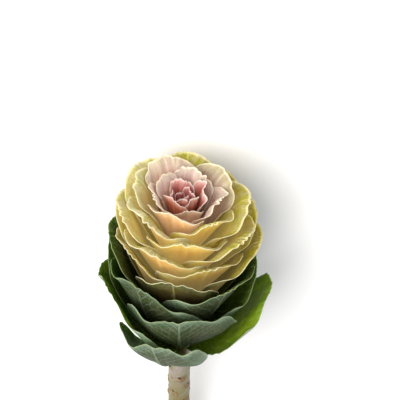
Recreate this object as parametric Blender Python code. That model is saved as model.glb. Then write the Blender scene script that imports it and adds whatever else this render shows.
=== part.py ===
"""Flowering kale: one cut stem with its leafy head, lying on its side.

Every leaf lies on its own cup-shaped shell round the stem. The shells form one family, from the
innermost leaf (order 0) to the outermost (order 1), and never cross, so nested leaves stay clear
of each other. Leaves follow each other round the stem by the golden angle.

The plant is described in its own frame: the stem runs along its z axis, height 0 is the middle
of the rosette seen from above, and the stem goes down to negative heights. Azimuth is counted
round the stem, and the lowest leaf points to about -110 degrees. lay_down() then turns the plant
on its side, head towards -Y, and presses the leaves that meet the surface flat against it.
"""

import math

import bmesh
import bpy
import numpy as np

MM = 0.001

# Stem
STEM_LENGTH = 440 * MM  # from height 0 to the cut
STEM_RADIUS = 10.5 * MM
STEM_TIP_RADIUS = 3.4 * MM
STEM_SIDES = 16
HEAD_FOOT = -208 * MM  # where the lowest leaf leaves the stem
TAPER_TOP = -36 * MM
SCAR_STEP = 7 * MM  # from one leaf scar down to the next
SCAR_RISE = 1.5 * MM
SCAR_HALF_WIDTH = math.radians(62)

# Leaves, counted from the middle of the rosette
HEART_LEAVES = 9
BLUSH_LEAVES = 8
CREAM_LEAVES = 20
GREEN_LEAVES = 13
LEAVES = HEART_LEAVES + BLUSH_LEAVES + CREAM_LEAVES + GREEN_LEAVES
ORDER_STEP = 1 / (LEAVES - 1)
GOLDEN_ANGLE = math.radians(137.508)
LOWEST_LEAF_AZIMUTH = math.radians(-108)
GAP = 0.35 * MM  # between a leaf's foot and the stem, and between the heart and the stem
HEART_SINK = 0.45  # share of the core's radius by which the heart's leaves are rooted in it
CORE_TIP = 4 * MM  # from the innermost leaf's foot up to the tip of the core

# Thickness
BLADE = 0.8 * MM
INNER_RIB = 1.2 * MM  # midrib at the foot of the innermost leaf
OUTER_RIB = 4.2 * MM  # and of the outermost
RIB_HALF_WIDTH = 0.3  # share of the leaf's half width

# The family of shells: (order, millimetres) or (order, degrees)
RIM_RADIUS = ((0.0, 2.5), (0.1, 11.0), (0.2, 24.5), (0.34, 46.0), (0.5, 62.0), (0.74, 69.5), (1.0, 81.0))
RIM_HEIGHT = (
    (0.0, -5.0), (0.1, 2.0), (0.2, 7.0), (0.34, 7.0), (0.5, -11.0),
    (0.74, -45.0), (0.84, -62.0), (0.92, -86.0), (1.0, -119.0),
)
FOOT_HEIGHT = ((0.0, -30.0), (0.2, -54.0), (0.5, -100.0), (0.74, -146.0), (1.0, -206.0))
LAUNCH_ANGLE = ((0.0, 70.0), (0.2, 62.0), (0.5, 50.0), (0.74, 38.0), (1.0, 24.0))
RIM_ANGLE = ((0.0, 120.0), (0.1, 90.0), (0.2, 56.0), (0.34, 28.0), (0.5, 22.0), (0.74, 38.0), (1.0, 62.0))
HALF_WIDTH = ((0.0, 66.0), (0.2, 64.0), (0.34, 64.0), (0.6, 64.0), (0.74, 63.0), (0.96, 58.0), (1.0, 49.0))
LAUNCH_HANDLE = 0.42  # of the distance from foot to rim
RIM_HANDLE = 0.22
FULL_SIDE = 0.045  # the head is fuller towards azimuth 0
SINKING_SIDE = 6 * MM  # and its rims lie lower there

# Outline of a leaf
FOOT_HALF_WIDTH = math.radians(64)
SHOULDER = 0.45  # share of a leaf's length over which it widens
WAIST = 0.28  # share of the leaf's length where its round upper part begins
ROUND_POWER = 2.0  # of the superellipse that the upper part is
ROUNDING = 1 - 2 ** (-1 / ROUND_POWER)
SHORTENING = 0.06  # of the shortest leaf among its neighbours
LENGTH_BEAT = 5.3  # radians from one leaf to the next in the turn of long and short leaves

# Leaves that differ from their neighbours
RIGHT_GREEN = LEAVES - 3  # the lowest one on the right
FRONT_GREEN = LEAVES - 6
STUNTED_GREEN = LEAVES - 8  # on the right, it stays well below its neighbours
SECOND_FRONT_GREEN = LEAVES - 11
LAST_CREAM = LEAVES - 14
LEFT_CREAM = LEAVES - 17
FRONT_BLUSH = HEART_LEAVES + 1
TURNED = {RIGHT_GREEN: 14, FRONT_GREEN: -14, SECOND_FRONT_GREEN: -8}  # degrees out of the regular turn
NARROWED = {RIGHT_GREEN: 0.74, LAST_CREAM: 0.85}  # share of its regular width
SHORTENED = {RIGHT_GREEN: -0.03, STUNTED_GREEN: 0.16, LEFT_CREAM: 0.08, FRONT_BLUSH: 0.18}  # by this share

# Waves, in steps from one leaf's shell to the next
SWELL = 0.7  # shared by neighbouring leaves
SWELLS_ROUND = 5
LEAVES_A_SWELL = 12
RUFFLE = ((0.0, 0.4), (0.16, 0.45), (0.3, 0.6), (1.0, 0.6))  # (order, steps) of a leaf's own waves
LONG_RUFFLE_SHARE = 0.62
LONG_RUFFLE_TURN = 6.5  # radians from a leaf's middle to its margin
SHORT_RUFFLE_TURN = 12.0
SHORT_RUFFLE_RISE = 4.0  # radians from foot to rim
RUFFLE_START = 0.45  # share of the way to the edge where the ruffle begins
EDGE_OPENING = 0.5  # how far a leaf's side margins stand outside its middle
LOWEST_OPENING = -1.5  # the lowest leaf's stand inside it
FLARE = ((0.0, 0.0), (0.2, 0.45), (0.34, 0.5), (0.7, 0.5), (0.85, 0.15), (1.0, 0.1))  # (order, steps)
FLARE_START = 0.86  # share of the length where the rim begins to bend outwards
CALM_FOOT = 0.75  # share of the length over which all waves grow from nothing

# How the plant lies
REST_TILT = math.radians(9.8)
STEM_BOW = 5.0 * MM
PRESS_SOFTNESS = 3.0 * MM
PRESS_DEPTH = 0.7 * MM
FREE_HEIGHT = 36 * MM  # above it the weight no longer shows
FORWARD = 209.5 * MM  # brings the middle of the plant to y = 0
SIDEWAYS = 4.3 * MM  # and to x = 0

# Fineness of the solids: columns across a leaf and rows along it
HEART_GRID = (7, 4)
BLUSH_GRID = (10, 5)
CREAM_GRID = (12, 5)
GREEN_GRID = (12, 6)
STEM_RINGS_IN_HEAD = 8
CORE_SIDES = 10
CORE_RINGS = 5
SHARP_ANGLE = math.radians(50)


def through(rows, order):
    """A smooth value at order, on a cubic through the rows of (order, value)."""
    orders = np.array([row[0] for row in rows])
    values = np.array([row[1] for row in rows])
    slopes = np.gradient(values, orders)
    order = np.asarray(order, float)
    k = np.clip(np.searchsorted(orders, order) - 1, 0, len(orders) - 2)
    span = orders[k + 1] - orders[k]
    f = (order - orders[k]) / span
    return (
        values[k] * (1 + 2 * f) * (1 - f) ** 2
        + values[k + 1] * f * f * (3 - 2 * f)
        + slopes[k] * span * f * (1 - f) ** 2
        - slopes[k + 1] * span * f * f * (1 - f)
    )


def smooth(x):
    """Rises from 0 to 1 with level ends."""
    x = np.clip(x, 0, 1)
    return x * x * (3 - 2 * x)


def stem_radius(height):
    """The stem tapers inside the head."""
    inside = smooth((height - HEAD_FOOT) / (TAPER_TOP - HEAD_FOOT))
    return STEM_RADIUS + (STEM_TIP_RADIUS - STEM_RADIUS) * inside


def foot_height(number):
    """Where a leaf leaves the stem."""
    return through(FOOT_HEIGHT, number * ORDER_STEP) * MM


# The stem ends between the feet of the heart's last leaf and the first blush leaf
STEM_TOP = float(foot_height(HEART_LEAVES - 0.5))


def shell(order, along, azimuth, sunk=0.0):
    """Radius and height at a share of the way from foot to rim, on the shell of that order: a
    cubic Bezier curve that leaves the stem at the launch angle and ends at the rim angle. A foot
    may be sunk into the stem by a share of its radius."""
    foot_z = through(FOOT_HEIGHT, order) * MM
    foot_r = (stem_radius(foot_z) + GAP) * (1 - sunk)
    rim_r = through(RIM_RADIUS, order) * MM * (1 + FULL_SIDE * np.cos(azimuth) * smooth(order / 0.4))
    rim_z = through(RIM_HEIGHT, order) * MM - SINKING_SIDE * np.cos(azimuth) * smooth(order / 0.4)
    reach = np.hypot(rim_r - foot_r, rim_z - foot_z)
    launch = np.radians(through(LAUNCH_ANGLE, order))
    end = np.radians(through(RIM_ANGLE, order))
    second = LAUNCH_HANDLE * reach
    third = RIM_HANDLE * reach
    r_points = (foot_r, foot_r + second * np.cos(launch), rim_r - third * np.cos(end), rim_r)
    z_points = (foot_z, foot_z + second * np.sin(launch), rim_z - third * np.sin(end), rim_z)
    weights = ((1 - along) ** 3, 3 * along * (1 - along) ** 2, 3 * along**2 * (1 - along), along**3)
    radius = sum(w * p for w, p in zip(weights, r_points))
    height = sum(w * p for w, p in zip(weights, z_points))
    return radius, height


def swell(order, azimuth):
    """Slow waves that run through neighbouring leaves alike."""
    phase = 2 * math.pi * order / ORDER_STEP / LEAVES_A_SWELL
    return SWELL * np.sin(SWELLS_ROUND * azimuth + phase)


def ruffle(number, across, along):
    """A leaf's own waves, from -1 to 1."""
    phase = number * GOLDEN_ANGLE
    long_part = np.sin(LONG_RUFFLE_TURN * across + phase)
    short_part = np.sin(SHORT_RUFFLE_TURN * across + SHORT_RUFFLE_RISE * along + 2 * phase)
    return LONG_RUFFLE_SHARE * long_part + (1 - LONG_RUFFLE_SHARE) * short_part


def outline(number, across, along):
    """Half angle and share of the way to the rim for a leaf with a round top."""
    t = np.clip((along - WAIST) / (1 - WAIST), 0, 1)
    drop = 1 - ROUNDING * np.abs(across) ** ROUND_POWER
    share = np.where(along < WAIST, along, WAIST + (1 - WAIST) * t * drop)
    share = share * (1 - SHORTENING * (0.5 + 0.5 * math.sin(LENGTH_BEAT * number)))
    share = share * (1 - SHORTENED.get(number, 0.0))
    widest = np.radians(through(HALF_WIDTH, number * ORDER_STEP))
    half = FOOT_HALF_WIDTH + (widest - FOOT_HALF_WIDTH) * smooth(along / SHOULDER)
    half = half * NARROWED.get(number, 1.0)
    return half * (1 - ROUNDING * t**ROUND_POWER), share


def leaf_middle(number):
    """Azimuth of a leaf's middle: a golden angle from the next leaf's."""
    regular = LOWEST_LEAF_AZIMUTH - (LEAVES - 1 - number) * GOLDEN_ANGLE
    return regular + math.radians(TURNED.get(number, 0.0))


def leaf_surface(number, across, along, sunk=0.0):
    """Points of a leaf's inner face, in the plant's frame. across runs from -1 to 1 between its
    margins, along from 0 at the foot to 1 at the rim."""
    order = number * ORDER_STEP
    half, share = outline(number, across, along)
    azimuth = leaf_middle(number) + across * half
    opening = LOWEST_OPENING if number == LEAVES - 1 else EDGE_OPENING
    edge = smooth((np.maximum(np.abs(across), along) - RUFFLE_START) / (1 - RUFFLE_START))
    waves = through(RUFFLE, order) * edge * ruffle(number, across, along)
    steps = (waves + opening * across**2 + swell(order, azimuth)) * smooth(along / CALM_FOOT)
    steps = steps + through(FLARE, order) * smooth((along - FLARE_START) / (1 - FLARE_START))
    radius, height = shell(order + steps * ORDER_STEP, share, azimuth, sunk)
    return np.stack([radius * np.cos(azimuth), radius * np.sin(azimuth), height], axis=-1)


def leaf_thickness(number, across, along):
    """The midrib is thick at the foot and runs out near the rim."""
    rib = INNER_RIB + (OUTER_RIB - INNER_RIB) * number * ORDER_STEP
    ridge = (1 - smooth(np.abs(across) / RIB_HALF_WIDTH)) * (1 - along) ** 1.5
    return BLADE + (rib - BLADE) * ridge


def press(height):
    """Height above the surface after the plant's weight has flattened what lies below it."""
    growth = np.exp(np.minimum(height, FREE_HEIGHT) / PRESS_SOFTNESS)
    pressed = PRESS_SOFTNESS * np.log1p(growth) - PRESS_DEPTH / (1 + growth)
    return np.where(height > FREE_HEIGHT, height, np.maximum(pressed, 0))


def lay_down(points, clearance=None):
    """From the plant's frame to the surface it lies on. With a clearance, what comes lower than
    that above the surface is pressed flat."""
    x, y, z = points[..., 0], points[..., 1], points[..., 2]
    below = np.clip((HEAD_FOOT - z) / (STEM_LENGTH + HEAD_FOOT), 0, 1)
    x = x + STEM_BOW * below**2
    c, s = math.cos(REST_TILT), math.sin(REST_TILT)
    lift = STEM_LENGTH * s + STEM_RADIUS * c
    up = z * s - y * c + lift
    if clearance is not None:
        up = press(up - clearance) + clearance
    return np.stack([SIDEWAYS - x, -z * c - y * s - FORWARD, up], axis=-1)


def add_object(name, mesh, material, collection=None):
    """Puts a mesh in the scene, or in a collection."""
    mesh.materials.append(material)
    mesh.shade_smooth()
    mesh.set_sharp_from_angle(angle=SHARP_ANGLE)
    made = bpy.data.objects.new(name, mesh)
    (collection or bpy.context.scene.collection).objects.link(made)
    return made


def leaf_object(name, number, fineness, material, sunk=0.0, collection=None):
    """One leaf: a grid of triangles bent to the leaf's inner face and thickened outwards."""
    mesh = bpy.data.meshes.new(name)
    grid = bmesh.new()
    bmesh.ops.create_grid(grid, x_segments=fineness[0], y_segments=fineness[1], size=1)
    bmesh.ops.triangulate(grid, faces=grid.faces[:], quad_method="ALTERNATE")
    grid.to_mesh(mesh)
    grid.free()
    corners = np.empty(len(mesh.vertices) * 3)
    mesh.vertices.foreach_get("co", corners)
    across = corners[0::3]
    along = (corners[1::3] + 1) / 2
    thickness = leaf_thickness(number, across, along)
    places = lay_down(leaf_surface(number, across, along, sunk), thickness)
    mesh.vertices.foreach_set("co", places.ravel())
    leaf = add_object(name, mesh, material, collection)
    thickest = float(thickness.max())
    group = leaf.vertex_groups.new(name="thickness")
    for index, share in enumerate(thickness / thickest):
        group.add([index], float(share), "REPLACE")
    solid = leaf.modifiers.new("Thickness", "SOLIDIFY")
    solid.thickness = thickest
    solid.offset = 1
    solid.vertex_group = group.name
    return leaf


def round_body(name, heights, radius_at, sides, material):
    """A closed body round the stem's line, with radius_at(height, azimuths) on each ring."""
    azimuths = np.arange(sides) * 2 * math.pi / sides
    body = bmesh.new()
    rings = []
    for height in heights:
        radius = radius_at(height, azimuths)
        level = np.full(sides, height)
        ring = np.stack([radius * np.cos(azimuths), radius * np.sin(azimuths), level], axis=-1)
        rings.append([body.verts.new(place) for place in lay_down(ring)])
    for low, high in zip(rings, rings[1:]):
        for k in range(sides):
            following = (k + 1) % sides
            body.faces.new((low[k], low[following], high[following], high[k]))
    body.faces.new(rings[0][::-1])
    body.faces.new(rings[-1])
    bmesh.ops.recalc_face_normals(body, faces=body.faces[:])
    mesh = bpy.data.meshes.new(name)
    body.to_mesh(mesh)
    body.free()
    return add_object(name, mesh, material)


def plain_radius(height, azimuths):
    """The stem's radius, alike all round."""
    return np.full(len(azimuths), stem_radius(height))


def scarred_radius(height, azimuths):
    """The stem's radius with the scar of a fallen leaf standing out on one side."""
    scar = round((HEAD_FOOT - height) / SCAR_STEP)
    off_scar = abs(HEAD_FOOT - height - scar * SCAR_STEP) > SCAR_STEP / 10
    if scar < 1 or off_scar:
        return plain_radius(height, azimuths)
    turned = azimuths - LOWEST_LEAF_AZIMUTH - scar * GOLDEN_ANGLE
    away = np.abs((turned + math.pi) % (2 * math.pi) - math.pi)
    return stem_radius(height) + SCAR_RISE * (1 - smooth(away / SCAR_HALF_WIDTH))


def stem_object(material):
    """The bare stem has a ring at every leaf scar and one between; inside the head it is plain."""
    scars = int((STEM_LENGTH + HEAD_FOOT) / SCAR_STEP) - 1
    bare = HEAD_FOOT - np.arange(scars * 2, -1, -1) * SCAR_STEP / 2
    inside = np.linspace(HEAD_FOOT, STEM_TOP, STEM_RINGS_IN_HEAD + 1)[1:]
    heights = np.concatenate([[-STEM_LENGTH], bare, inside])
    return round_body("stem", heights, scarred_radius, STEM_SIDES, material)


def heart_object(material):
    """The crumpled pink heart: little leaves fused to a core that stands on the stem."""
    heights = np.linspace(STEM_TOP + GAP, foot_height(0) + CORE_TIP, CORE_RINGS)
    heart = round_body("heart", heights, plain_radius, CORE_SIDES, material)
    leaves = bpy.data.collections.new("heart_leaves")
    for number in range(HEART_LEAVES):
        leaf_object(f"heart_leaf_{number + 1}", number, HEART_GRID, material, HEART_SINK, leaves)
    union = heart.modifiers.new("Leaves", "BOOLEAN")
    union.operation = "UNION"
    union.operand_type = "COLLECTION"
    union.collection = leaves
    union.solver = "MANIFOLD"
    graph = bpy.context.evaluated_depsgraph_get()
    fused = bpy.data.meshes.new_from_object(heart.evaluated_get(graph))
    heart.modifiers.clear()
    heart.data = fused
    for leaf in list(leaves.objects):
        bpy.data.objects.remove(leaf)
    bpy.data.collections.remove(leaves)
    return heart


def material(name, colour, roughness):
    """A plain dielectric colour."""
    made = bpy.data.materials.new(name)
    made.use_nodes = True
    shader = made.node_tree.nodes["Principled BSDF"]
    shader.inputs["Base Color"].default_value = (*colour, 1)
    shader.inputs["Roughness"].default_value = roughness
    shader.inputs["Metallic"].default_value = 0
    return made


def main():
    """Stem, heart and every leaf, each in a material of its own colour."""
    for old in list(bpy.data.objects):
        bpy.data.objects.remove(old)
    stem_object(material("stem_skin", (0.62, 0.58, 0.42), 0.6))
    heart_object(material("pink_heart", (0.70, 0.30, 0.32), 0.5))
    blush = material("blush_leaf", (0.80, 0.62, 0.50), 0.5)
    cream = material("cream_leaf", (0.75, 0.65, 0.28), 0.5)
    green = material("green_leaf", (0.05, 0.14, 0.03), 0.5)
    first = HEART_LEAVES
    for place in range(BLUSH_LEAVES):
        leaf_object(f"blush_leaf_{place + 1:02d}", first + place, BLUSH_GRID, blush)
    first += BLUSH_LEAVES
    for place in range(CREAM_LEAVES):
        leaf_object(f"cream_leaf_{place + 1:02d}", first + place, CREAM_GRID, cream)
    first += CREAM_LEAVES
    for place in range(GREEN_LEAVES):
        leaf_object(f"green_leaf_{place + 1:02d}", first + place, GREEN_GRID, green)


main()
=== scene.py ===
"""Flowering kale dressed over its CAD solids: leaves with frilled rims and veins, a crumpled pink
heart, a scarred stem, soft studio light and the photograph's camera.

Every leaf lies on its own cup-shaped shell round the stem, as its CAD solid does, so nested leaves
stay clear of each other. A leaf is a surface of two parameters: across, from -1 to 1 between its
side margins, and along, from 0 at its foot to 1 at its rim. The plant's own frame has the stem
along z, the middle of the rosette at height 0 and the viewer towards -y, and lay_down() turns it
onto the surface it lies on.
"""

import math

import bpy
import numpy as np
from mathutils import Matrix, Vector

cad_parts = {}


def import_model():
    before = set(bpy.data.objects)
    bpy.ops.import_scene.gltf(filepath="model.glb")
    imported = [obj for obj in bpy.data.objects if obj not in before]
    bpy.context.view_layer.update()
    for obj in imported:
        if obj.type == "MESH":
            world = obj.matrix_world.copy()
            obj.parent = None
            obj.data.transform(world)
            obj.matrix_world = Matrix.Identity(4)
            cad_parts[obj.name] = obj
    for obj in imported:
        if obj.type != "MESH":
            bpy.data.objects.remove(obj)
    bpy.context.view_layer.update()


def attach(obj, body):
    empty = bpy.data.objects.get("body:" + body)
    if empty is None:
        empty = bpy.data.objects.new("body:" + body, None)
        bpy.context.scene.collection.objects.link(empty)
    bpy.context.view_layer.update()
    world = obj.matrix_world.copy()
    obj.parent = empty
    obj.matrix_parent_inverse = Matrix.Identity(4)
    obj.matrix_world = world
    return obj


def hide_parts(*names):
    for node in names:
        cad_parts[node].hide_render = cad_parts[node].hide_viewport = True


MM = 0.001

# Stem, as in the CAD solids
STEM_LENGTH = 440 * MM  # from height 0 to the cut
STEM_RADIUS = 10.5 * MM
STEM_TIP_RADIUS = 3.4 * MM
HEAD_FOOT = -208 * MM  # where the lowest leaf leaves the stem
TAPER_TOP = -36 * MM

# Leaves, counted from the middle of the rosette
HEART_LEAVES = 9
BLUSH_LEAVES = 8
CREAM_LEAVES = 20
GREEN_LEAVES = 13
LEAVES = HEART_LEAVES + BLUSH_LEAVES + CREAM_LEAVES + GREEN_LEAVES
ORDER_STEP = 1 / (LEAVES - 1)
GOLDEN_ANGLE = math.radians(137.508)
LOWEST_LEAF_AZIMUTH = math.radians(-108)
GAP = 0.35 * MM
HEART_SINK = 0.45
CORE_TIP = 4 * MM

# The family of shells: (order, millimetres) or (order, degrees)
RIM_RADIUS = ((0.0, 2.5), (0.1, 11), (0.2, 24.5), (0.34, 46), (0.5, 62), (0.74, 69.5), (1.0, 81))
RIM_HEIGHT = (
    (0.0, -5), (0.1, 2), (0.2, 7), (0.34, 7), (0.5, -11),
    (0.74, -45), (0.84, -62), (0.92, -86), (1.0, -119),
)
FOOT_HEIGHT = ((0.0, -30), (0.2, -54), (0.5, -100), (0.74, -146), (1.0, -206))
LAUNCH_ANGLE = ((0.0, 70), (0.2, 62), (0.5, 50), (0.74, 38), (1.0, 24))
RIM_ANGLE = ((0.0, 120), (0.1, 90), (0.2, 56), (0.34, 28), (0.5, 22), (0.74, 38), (1.0, 62))
HALF_WIDTH = ((0.0, 66), (0.2, 64), (0.34, 64), (0.6, 64), (0.74, 63), (0.96, 58), (1.0, 49))
LAUNCH_HANDLE = 0.42
RIM_HANDLE = 0.22
FULL_SIDE = 0.045
SINKING_SIDE = 6 * MM
LOPSIDED_FROM = 0.4  # order from which both of these are full

# Outline of a leaf
FOOT_HALF_WIDTH = math.radians(64)
SHOULDER = 0.45
WAIST = 0.28
ROUND_POWER = 2.0
ROUNDING = 1 - 2 ** (-1 / ROUND_POWER)
SHORTENING = 0.06
LENGTH_BEAT = 5.3

# Leaves that differ from their neighbours
RIGHT_GREEN = LEAVES - 3
LEFT_GREEN = LEAVES - 4
FRONT_GREEN = LEAVES - 6
STUNTED_GREEN = LEAVES - 8
SECOND_FRONT_GREEN = LEAVES - 11
LAST_CREAM = LEAVES - 14
LEFT_CREAM = LEAVES - 17
FRONT_BLUSH = HEART_LEAVES + 1
TURNED = {RIGHT_GREEN: 14, FRONT_GREEN: -14, SECOND_FRONT_GREEN: -8}  # degrees out of the regular turn
NARROWED = {RIGHT_GREEN: 0.74, LAST_CREAM: 0.85}
SHORTENED = {RIGHT_GREEN: -0.03, STUNTED_GREEN: 0.16, LEFT_CREAM: 0.08, FRONT_BLUSH: 0.18}
BRIGHT = {RIGHT_GREEN: 0.7, LEFT_GREEN: 0.5}  # tones of leaves that look lit from behind

# Waves, in steps from one leaf's shell to the next
SWELL = 0.7
SWELLS_ROUND = 5
LEAVES_A_SWELL = 12
RUFFLE = ((0.0, 0.4), (0.16, 0.45), (0.3, 0.6), (1.0, 0.6))
LONG_RUFFLE_SHARE = 0.62
LONG_RUFFLE_TURN = 6.5
SHORT_RUFFLE_TURN = 12.0
SHORT_RUFFLE_RISE = 4.0
RUFFLE_START = 0.45
EDGE_OPENING = 0.5
LOWEST_OPENING = -1.5
FLARE = ((0.0, 0.0), (0.2, 0.45), (0.34, 0.5), (0.7, 0.5), (0.85, 0.15), (1.0, 0.1))
FLARE_START = 0.86
CALM_FOOT = 0.75

# Fine waves and teeth of a leaf's margin, which the solids leave out. Their counts are for a whole
# turn round the leaf's middle, and small leaves have a share of them. FRILL is in steps too
MIDDLE_ALONG = 0.35
WAVES_SHARE = ((0.0, 0.5), (0.3, 0.62), (0.6, 1.0), (1.0, 1.0))
FRILL = ((0.0, 0.3), (0.2, 0.48), (0.4, 0.38), (0.72, 0.3), (0.84, 0.16), (1.0, 0.1))
FRILL_WAVES = 27
FRILL_DRIFT = 4.3
FRILL_BEND = 3.4
FRILL_CALM = 0.15  # share of the frill's depth where it is calmest
FRILL_PEAKING = 1.5  # above 1, calm stretches are longer than lively ones
FRILL_START = 0.8
TEETH = 58
TOOTH_DEPTH = 0.008
TOOTH_BEND = 2
NICKS = 24
NICK_DEPTH = 0.017
NICK_DRIFT = 9.7
NICK_BEND = 1.1
NICK_TURN = 3

# How thick a dressed leaf is
MARGIN = 0.35 * MM
BLADE = 0.65 * MM
INNER_RIB = 1.1 * MM
OUTER_RIB = 4.0 * MM
RIB_HALF_WIDTH = 0.16
RIB_THINNING = 1.5
THIN_EDGE = 6 * MM

# How the plant lies
REST_TILT = math.radians(9.8)
STEM_BOW = 5.0 * MM
PRESS_SOFTNESS = 3.0 * MM
PRESS_DEPTH = 0.7 * MM
FREE_HEIGHT = 36 * MM  # what is higher isn't pressed
FORWARD = 209.5 * MM
SIDEWAYS = 4.3 * MM
# The lower edge of the cut lies on the surface
LIFT = STEM_LENGTH * math.sin(REST_TILT) + STEM_RADIUS * math.cos(REST_TILT)

# Fineness: columns across a leaf and rows along it
HEART_GRID = (64, 26)
BLUSH_GRID = (104, 34)
CREAM_GRID = (124, 36)
GREEN_GRID = (128, 40)
SIDE_CROWDING = 0.2
RIM_CROWDING = 1.5
STEM_SIDES = 112
STEM_ROW = 0.6 * MM
ROWS_IN_HEAD = 60
CORE_SIDES = 20
CORE_ROWS = 12
CREASE = math.radians(50)

# Camera: the photograph is 400 pixels wide and high
PHOTO = 400
FOCAL_PIXELS = 1300
PIXELS_A_METRE = 1176
BUD_PIXEL = (183, 192)
VIEW_DOWN = math.radians(44)  # from level, in the plant's frame
VIEW_ROLL = math.radians(2)
FILM_WIDTH = 36

DECIMETRE = 0.1  # the unit of a leaf's UV map

# How much paler or deeper a leaf is than its neighbours: partly each leaf's own tone, partly painted light
# and shade by the leaf's side of the rosette
TONE_BEAT = 2.3
GREEN_SPREAD = 0.6
ROSETTE_SPREAD = 0.3
# Painted light and shade of the rosette's leaves: all of them darker, more so towards the right and the
# back, so the left ones are palest
FRONT_DEPTH = 0.4
RIGHT_PAINTED_SHADE = 0.8
BACK_PAINTED_SHADE = 0.7
GROUP_BEND = 2.2  # above 1, a group's colours change mostly in its last leaves


# Shape of the leaves

def through(rows, order):
    """A smooth value at order, on a cubic through the rows of (order, value)."""
    orders = np.array([row[0] for row in rows])
    values = np.array([row[1] for row in rows])
    slopes = np.gradient(values, orders)
    order = np.asarray(order, float)
    k = np.clip(np.searchsorted(orders, order) - 1, 0, len(orders) - 2)
    span = orders[k + 1] - orders[k]
    f = (order - orders[k]) / span
    return (
        values[k] * (1 + 2 * f) * (1 - f) ** 2
        + values[k + 1] * f * f * (3 - 2 * f)
        + slopes[k] * span * f * (1 - f) ** 2
        - slopes[k + 1] * span * f * f * (1 - f)
    )


def smooth(x):
    """Rises from 0 to 1 with level ends: three squares less two cubes."""
    x = np.clip(x, 0, 1)
    return x * x * (3 - 2 * x)


def stem_radius(height):
    """The stem tapers inside the head."""
    inside = smooth((height - HEAD_FOOT) / (TAPER_TOP - HEAD_FOOT))
    return STEM_RADIUS + (STEM_TIP_RADIUS - STEM_RADIUS) * inside


def foot_height(number):
    """Where a leaf leaves the stem."""
    return through(FOOT_HEIGHT, number * ORDER_STEP) * MM


STEM_TOP = float(foot_height(HEART_LEAVES - 0.5))


def shell(order, along, azimuth, sunk=0.0):
    """Radius and height at a share of the way from foot to rim, on the shell of that order: a
    cubic Bezier curve that leaves the stem at the launch angle and ends at the rim angle. A foot
    may be sunk into the stem by a share of its radius."""
    foot_z = through(FOOT_HEIGHT, order) * MM
    foot_r = (stem_radius(foot_z) + GAP) * (1 - sunk)
    lean = np.cos(azimuth) * smooth(order / LOPSIDED_FROM)
    rim_r = through(RIM_RADIUS, order) * MM * (1 + FULL_SIDE * lean)
    rim_z = through(RIM_HEIGHT, order) * MM - SINKING_SIDE * lean
    reach = np.hypot(rim_r - foot_r, rim_z - foot_z)
    launch = np.radians(through(LAUNCH_ANGLE, order))
    end = np.radians(through(RIM_ANGLE, order))
    second = LAUNCH_HANDLE * reach
    third = RIM_HANDLE * reach
    r_points = (foot_r, foot_r + second * np.cos(launch), rim_r - third * np.cos(end), rim_r)
    z_points = (foot_z, foot_z + second * np.sin(launch), rim_z - third * np.sin(end), rim_z)
    weights = ((1 - along) ** 3, 3 * along * (1 - along) ** 2, 3 * along**2 * (1 - along), along**3)
    radius = sum(w * p for w, p in zip(weights, r_points))
    height = sum(w * p for w, p in zip(weights, z_points))
    return radius, height


def swell(order, azimuth):
    """Slow waves that run through neighbouring leaves alike: a sine round the stem that turns
    with the order."""
    phase = 2 * math.pi * order / ORDER_STEP / LEAVES_A_SWELL
    return SWELL * np.sin(SWELLS_ROUND * azimuth + phase)


def ruffle(number, across, along):
    """A leaf's own waves, from -1 to 1: a long sine and a short one across the leaf."""
    phase = number * GOLDEN_ANGLE
    long_part = np.sin(LONG_RUFFLE_TURN * across + phase)
    short_part = np.sin(SHORT_RUFFLE_TURN * across + SHORT_RUFFLE_RISE * along + 2 * phase)
    return LONG_RUFFLE_SHARE * long_part + (1 - LONG_RUFFLE_SHARE) * short_part


def is_green(number):
    """Whether a leaf is one of the outer green leaves."""
    return number >= LEAVES - GREEN_LEAVES


def toward_margin(across, along, start):
    """0 inside a leaf, rising to 1 at its margin, from a share of the way there."""
    return smooth((np.maximum(np.abs(across), along) - start) / (1 - start))


def margin_angle(across, along):
    """Angle round the leaf's middle, which counts the waves and teeth along its margin."""
    return np.arctan2(along - MIDDLE_ALONG, across)


def frill(number, across, along):
    """Fine waves of the margin: a sine of the angle round the leaf's middle, whose phase a slower
    sine bends, so that long and short waves take turns. Another slow sine has calm and lively
    stretches take turns."""
    angle = margin_angle(across, along)
    phase = number * GOLDEN_ANGLE
    waves = FRILL_WAVES * through(WAVES_SHARE, number * ORDER_STEP)
    wave = np.sin(waves * angle + phase + FRILL_BEND * np.sin(FRILL_DRIFT * angle + 2 * phase))
    lively = (0.5 + 0.5 * np.sin(FRILL_DRIFT * angle - phase)) ** FRILL_PEAKING
    strength = FRILL_CALM + (1 - FRILL_CALM) * lively
    depth = through(FRILL, number * ORDER_STEP)
    return depth * strength * wave * toward_margin(across, along, FRILL_START)


def teeth(number, across, along):
    """Factor that draws the margin in between a green leaf's small teeth, or at the soft, uneven
    nicks of the other leaves: a cosine of the angle round the leaf's middle, whose phase two
    slower sines bend."""
    green = is_green(number)
    count, depth = (TEETH, TOOTH_DEPTH) if green else (NICKS, NICK_DEPTH)
    count = count * through(WAVES_SHARE, number * ORDER_STEP)
    angle = margin_angle(across, along)
    bend = np.sin(FRILL_DRIFT * angle + number)
    quick_bend = NICK_BEND * np.sin(NICK_DRIFT * angle + NICK_TURN * number)
    notch = 0.5 - 0.5 * np.cos(count * angle + TOOTH_BEND * bend + quick_bend)
    uneven = 1.0 if green else (0.5 - 0.5 * bend) ** 2
    return 1 - depth * notch * uneven * toward_margin(across, along, FRILL_START)


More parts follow.
